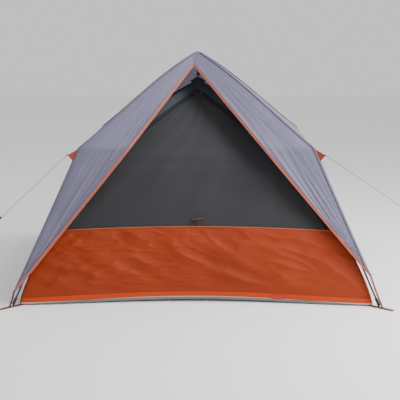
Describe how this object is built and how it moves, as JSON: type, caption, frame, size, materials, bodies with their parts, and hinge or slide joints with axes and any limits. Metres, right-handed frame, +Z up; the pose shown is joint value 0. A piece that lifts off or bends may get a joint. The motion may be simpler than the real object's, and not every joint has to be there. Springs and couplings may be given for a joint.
{
  "type": "pop up tent",
  "caption": "Pop-up tent on a folding umbrella frame: hub, hinged poles, fly with an open front, inner tent with mesh door, floor, guy lines.",
  "frame": {"origin": "on the ground under the middle of the floor", "axes": "+Z up, the door faces -Y, +X to the right as seen from the front"},
  "size_m": [2.3928, 1.9976, 1.266],
  "materials": {
    "fly_cloth": "matte",
    "orange_cloth": "matte",
    "roof_cloth": "matte",
    "mesh": "matte",
    "floor_cloth": "matte",
    "binding": "matte",
    "red_webbing": "matte",
    "black_webbing": "matte",
    "guy_cord": "matte",
    "glass_fibre": "satin",
    "black_nylon": "satin",
    "pin_steel": "satin",
    "zip_metal": "satin",
    "toggle_plastic": "satin"
  },
  "bodies": {
    "shelter": {"floor_sheet": "floor_cloth", "corner_straps": "red_webbing", "fly_left": "fly_cloth", "fly_right": "fly_cloth", "fly_back": "fly_cloth", "fly_front_left": "fly_cloth", "fly_front_right": "fly_cloth", "fly_piping": "binding", "fly_corner_ties": "red_webbing", "guy_tab_left": "red_webbing", "guy_tab_right": "red_webbing", "guy_line_left": "guy_cord", "guy_line_right": "guy_cord", "inner_wall_left": "orange_cloth", "inner_wall_right": "orange_cloth", "inner_wall_back": "orange_cloth", "front_wall": "orange_cloth", "inner_roof": "roof_cloth", "front_border": "roof_cloth", "zip_tapes": "black_webbing", "peak_cap": "roof_cloth", "hanging_strap": "black_webbing", "corner_rings": "pin_steel"},
    "hub": {"hub_body": "black_nylon", "hub_cap": "black_nylon", "hub_pins": "pin_steel"},
    "door": {"mesh_door": "mesh", "door_toggle": "toggle_plastic"},
    "zip_left": {"zip_slider_left": "zip_metal"},
    "zip_right": {"zip_slider_right": "zip_metal"},
    "runner_left": {"guy_runner_left": "black_nylon"},
    "runner_right": {"guy_runner_right": "black_nylon"},
    "strut_front_left": {"strut_rod_front_left": "glass_fibre", "strut_hub_eye_front_left": "black_nylon", "elbow_tongue_front_left": "black_nylon"},
    "leg_front_left": {"elbow_fork_front_left": "black_nylon", "elbow_pin_front_left": "pin_steel", "leg_rod_front_left": "glass_fibre", "foot_tip_front_left": "black_nylon"},
    "strut_front_right": {"strut_rod_front_right": "glass_fibre", "strut_hub_eye_front_right": "black_nylon", "elbow_tongue_front_right": "black_nylon"},
    "leg_front_right": {"elbow_fork_front_right": "black_nylon", "elbow_pin_front_right": "pin_steel", "leg_rod_front_right": "glass_fibre", "foot_tip_front_right": "black_nylon"},
    "strut_back_left": {"strut_rod_back_left": "glass_fibre", "strut_hub_eye_back_left": "black_nylon", "elbow_tongue_back_left": "black_nylon"},
    "leg_back_left": {"elbow_fork_back_left": "black_nylon", "elbow_pin_back_left": "pin_steel", "leg_rod_back_left": "glass_fibre", "foot_tip_back_left": "black_nylon"},
    "strut_back_right": {"strut_rod_back_right": "glass_fibre", "strut_hub_eye_back_right": "black_nylon", "elbow_tongue_back_right": "black_nylon"},
    "leg_back_right": {"elbow_fork_back_right": "black_nylon", "elbow_pin_back_right": "pin_steel", "leg_rod_back_right": "glass_fibre", "foot_tip_back_right": "black_nylon"}
  },
  "joints": [
    {"name": "frame_fold", "type": "slide", "parent": "shelter", "child": "hub", "axis": [0, 0, -1], "range_m": [0, 0.82], "deforming": ["floor_sheet", "corner_straps", "fly_left", "fly_right", "fly_back", "fly_front_left", "fly_front_right", "fly_piping", "fly_corner_ties", "guy_tab_left", "guy_tab_right", "guy_line_left", "guy_line_right", "inner_wall_left", "inner_wall_right", "inner_wall_back", "front_wall", "inner_roof", "front_border", "mesh_door", "zip_tapes", "peak_cap", "hanging_strap"]},
    {"name": "strut_hinge_front_left", "type": "hinge", "parent": "hub", "child": "strut_front_left", "pos_m": [-0.03889, -0.03889, 1.19], "axis": [-0.7071, 0.7071, 0], "range_deg": [0, 14.79]},
    {"name": "elbow_front_left", "type": "hinge", "parent": "strut_front_left", "child": "leg_front_left", "pos_m": [-0.60245, -0.60245, 0.752], "axis": [0.7071, -0.7071, 0], "range_deg": [0, 139.79]},
    {"name": "strut_hinge_front_right", "type": "hinge", "parent": "hub", "child": "strut_front_right", "pos_m": [0.03889, -0.03889, 1.19], "axis": [-0.7071, -0.7071, 0], "range_deg": [0, 14.79]},
    {"name": "elbow_front_right", "type": "hinge", "parent": "strut_front_right", "child": "leg_front_right", "pos_m": [0.60245, -0.60245, 0.752], "axis": [0.7071, 0.7071, 0], "range_deg": [0, 139.79]},
    {"name": "strut_hinge_back_left", "type": "hinge", "parent": "hub", "child": "strut_back_left", "pos_m": [-0.03889, 0.03889, 1.19], "axis": [0.7071, 0.7071, 0], "range_deg": [0, 14.79]},
    {"name": "elbow_back_left", "type": "hinge", "parent": "strut_back_left", "child": "leg_back_left", "pos_m": [-0.60245, 0.60245, 0.752], "axis": [-0.7071, -0.7071, 0], "range_deg": [0, 139.79]},
    {"name": "strut_hinge_back_right", "type": "hinge", "parent": "hub", "child": "strut_back_right", "pos_m": [0.03889, 0.03889, 1.19], "axis": [0.7071, -0.7071, 0], "range_deg": [0, 14.79]},
    {"name": "elbow_back_right", "type": "hinge", "parent": "strut_back_right", "child": "leg_back_right", "pos_m": [0.60245, 0.60245, 0.752], "axis": [-0.7071, 0.7071, 0], "range_deg": [0, 139.79]},
    {"name": "door_flap", "type": "hinge", "parent": "shelter", "child": "door", "pos_m": [0, -0.71595, 0.3615], "axis": [-1, 0, 0], "range_deg": [0, 60]},
    {"name": "zip_run_left", "type": "slide", "parent": "shelter", "child": "zip_left", "axis": [-0.627, -0.627, -0.4623], "range_m": [0, 0.58]},
    {"name": "zip_run_right", "type": "slide", "parent": "shelter", "child": "zip_right", "axis": [0.627, -0.627, -0.4623], "range_m": [0, 0.58]},
    {"name": "runner_slide_left", "type": "slide", "parent": "shelter", "child": "runner_left", "axis": [0.7305, 0.0866, 0.6774], "range_m": [0, 0.06]},
    {"name": "runner_slide_right", "type": "slide", "parent": "shelter", "child": "runner_right", "axis": [-0.8277, 0.0833, 0.555], "range_m": [0, 0.06]}
  ],
  "couplings": [
    {"joint": "strut_hinge_front_left", "follows": "frame_fold", "rad_per_m": 0.31477},
    {"joint": "elbow_front_left", "follows": "frame_fold", "rad_per_m": 2.9751},
    {"joint": "strut_hinge_front_right", "follows": "frame_fold", "rad_per_m": 0.31477},
    {"joint": "elbow_front_right", "follows": "frame_fold", "rad_per_m": 2.9751},
    {"joint": "strut_hinge_back_left", "follows": "frame_fold", "rad_per_m": 0.31477},
    {"joint": "elbow_back_left", "follows": "frame_fold", "rad_per_m": 2.9751},
    {"joint": "strut_hinge_back_right", "follows": "frame_fold", "rad_per_m": 0.31477},
    {"joint": "elbow_back_right", "follows": "frame_fold", "rad_per_m": 2.9751}
  ]
}
